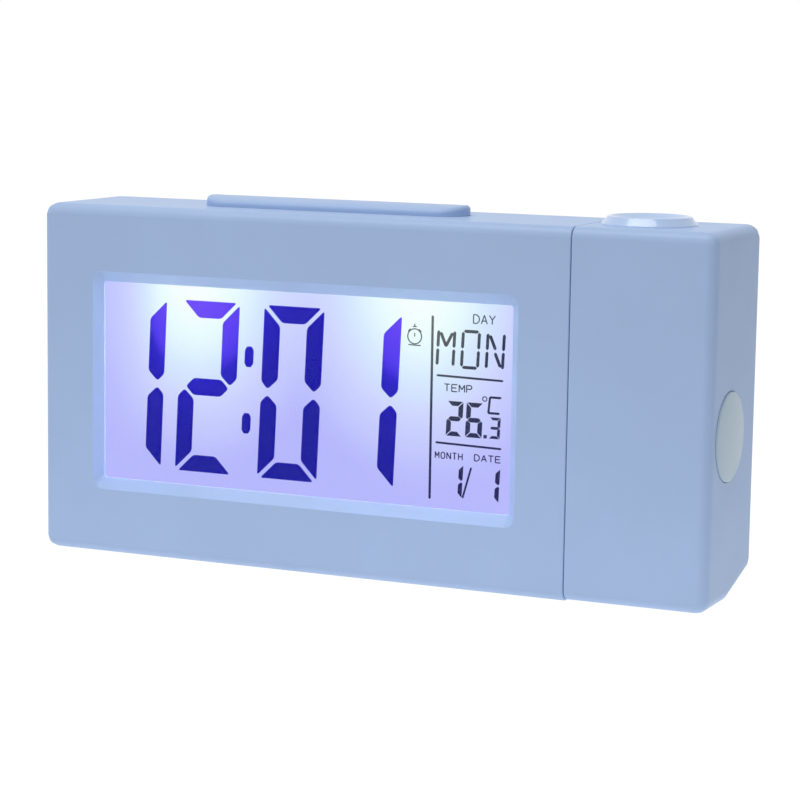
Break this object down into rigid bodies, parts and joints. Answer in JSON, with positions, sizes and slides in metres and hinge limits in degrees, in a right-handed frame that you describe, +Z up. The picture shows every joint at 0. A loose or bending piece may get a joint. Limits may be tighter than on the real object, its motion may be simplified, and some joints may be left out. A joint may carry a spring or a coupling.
{
  "type": "projection alarm clock",
  "caption": "Box-shaped desk clock with a backlit display in a bevelled window, a long snooze bar on top and a turning projector head with a lens ring at its right end.",
  "frame": {"origin": "middle of the footprint's bounding box, on the surface that the clock stands on", "axes": "+X towards the projector head along the clock's width, +Y from the display to the back, +Z up"},
  "size_m": [0.1458, 0.0304, 0.0746],
  "materials": {
    "housing_white": "pale blue-white, semi-gloss moulded ABS",
    "housing_inner": "moulded ABS, hidden faces",
    "pane_clear": "clear acrylic, glossy",
    "film": "polarising film over a lit violet display",
    "lcd_glass": "display glass",
    "guide_clear": "clear acrylic light guide",
    "tray_white": "white reflector tray",
    "board_green": "solder mask over glass-fibre board",
    "led_body": "lamp package",
    "rubber_dark": "conductive rubber",
    "screw_steel": "zinc plated",
    "resin_black": "black sealing resin",
    "component_tan": "small components",
    "connector_ivory": "nylon",
    "switch_black": "moulded nylon",
    "plunger_grey": "moulded acetal",
    "cable_grey": "PVC sleeve",
    "wire_red": "PVC insulation",
    "cell_wrap": "printed metal can",
    "spring_steel": "nickel plated spring steel",
    "knob_dark": "moulded ABS",
    "dial_pale": "pale grey-green moulded ABS",
    "barrel_black": "black polycarbonate",
    "lens_glass": "polished optical acrylic",
    "gear_white": "moulded acetal"
  },
  "bodies": {
    "case": {"front_housing": "housing_white", "rear_cover": "housing_white", "case_screws": "screw_steel", "display_window": "pane_clear", "battery_cells": "cell_wrap", "polarising_films": "film", "lcd_cell": "lcd_glass", "light_guide": "guide_clear", "display_tray": "tray_white", "backlight_board": "board_green", "backlight_leds": "led_body", "contact_strip": "rubber_dark", "main_board": "board_green", "board_screws": "screw_steel", "main_chip": "resin_black", "board_components": "component_tan", "harness_socket": "connector_ivory", "snooze_switches": "switch_black", "key_board": "board_green", "key_switches": "switch_black", "slide_switch": "spring_steel", "key_ribbon": "cable_grey", "battery_springs": "spring_steel", "battery_contacts": "spring_steel", "lead_wires": "wire_red", "power_socket": "switch_black", "buzzer": "switch_black", "temperature_sensor": "resin_black", "case_harness": "cable_grey"},
    "snooze_bar": {"snooze_bar": "housing_white", "snooze_plungers": "plunger_grey"},
    "mode_key": {"mode_key": "housing_white", "mode_plunger": "plunger_grey"},
    "set_key": {"set_key": "housing_white", "set_plunger": "plunger_grey"},
    "up_key": {"up_key": "housing_white", "up_plunger": "plunger_grey"},
    "down_key": {"down_key": "housing_white", "down_plunger": "plunger_grey"},
    "alarm_key": {"alarm_key": "housing_white", "alarm_plunger": "plunger_grey"},
    "slide_knob": {"slide_knob": "knob_dark"},
    "battery_door": {"battery_door": "housing_white"},
    "projector_head": {"head_shell": "housing_white", "head_cap": "housing_inner", "cap_screws": "screw_steel", "pivot_washer": "spring_steel", "pivot_clip": "spring_steel", "head_harness": "cable_grey", "lens_ring": "housing_white", "barrel_guide": "switch_black", "lamp_tube": "switch_black", "projector_led": "led_body", "condenser_lens": "lens_glass", "projector_lcd": "lcd_glass", "projector_board": "board_green"},
    "lens_barrel": {"lens_barrel": "barrel_black", "projection_lens": "lens_glass"},
    "focus_dial": {"focus_dial": "dial_pale", "focus_pinion": "gear_white"}
  },
  "joints": [
    {"name": "head_turn", "type": "hinge", "parent": "case", "child": "projector_head", "pos_m": [0.0437, -0.0004, 0.0364], "axis": [-1, 0, 0], "range_deg": [0, 90]},
    {"name": "focus_slide", "type": "slide", "parent": "projector_head", "child": "lens_barrel", "axis": [0, 0, 1], "range_m": [-0.00251, 0.00251]},
    {"name": "focus_dial_turn", "type": "hinge", "parent": "projector_head", "child": "focus_dial", "pos_m": [0.072, -0.00365, 0.033], "axis": [1, 0, 0], "range_deg": [-45, 45]},
    {"name": "snooze_press", "type": "slide", "parent": "case", "child": "snooze_bar", "axis": [0, 0, -1], "range_m": [0, 0.0006], "stiffness_N_per_m": 1500, "springref_m": -0.0002},
    {"name": "mode_press", "type": "slide", "parent": "case", "child": "mode_key", "axis": [0, -1, 0], "range_m": [0, 0.0006], "stiffness_N_per_m": 900, "springref_m": -0.0002},
    {"name": "set_press", "type": "slide", "parent": "case", "child": "set_key", "axis": [0, -1, 0], "range_m": [0, 0.0006], "stiffness_N_per_m": 900, "springref_m": -0.0002},
    {"name": "up_press", "type": "slide", "parent": "case", "child": "up_key", "axis": [0, -1, 0], "range_m": [0, 0.0006], "stiffness_N_per_m": 900, "springref_m": -0.0002},
    {"name": "down_press", "type": "slide", "parent": "case", "child": "down_key", "axis": [0, -1, 0], "range_m": [0, 0.0006], "stiffness_N_per_m": 900, "springref_m": -0.0002},
    {"name": "alarm_press", "type": "slide", "parent": "case", "child": "alarm_key", "axis": [0, -1, 0], "range_m": [0, 0.0006], "stiffness_N_per_m": 900, "springref_m": -0.0002},
    {"name": "alarm_switch_slide", "type": "slide", "parent": "case", "child": "slide_knob", "axis": [1, 0, 0], "range_m": [0, 0.003]},
    {"name": "battery_door_hinge", "type": "hinge", "parent": "case", "child": "battery_door", "pos_m": [-0.0375, 0.01435, 0.0136], "axis": [-1, 0, 0], "range_deg": [0, 75]}
  ],
  "couplings": [
    {"joint": "focus_dial_turn", "follows": "focus_slide", "rad_per_m": 312.5}
  ]
}
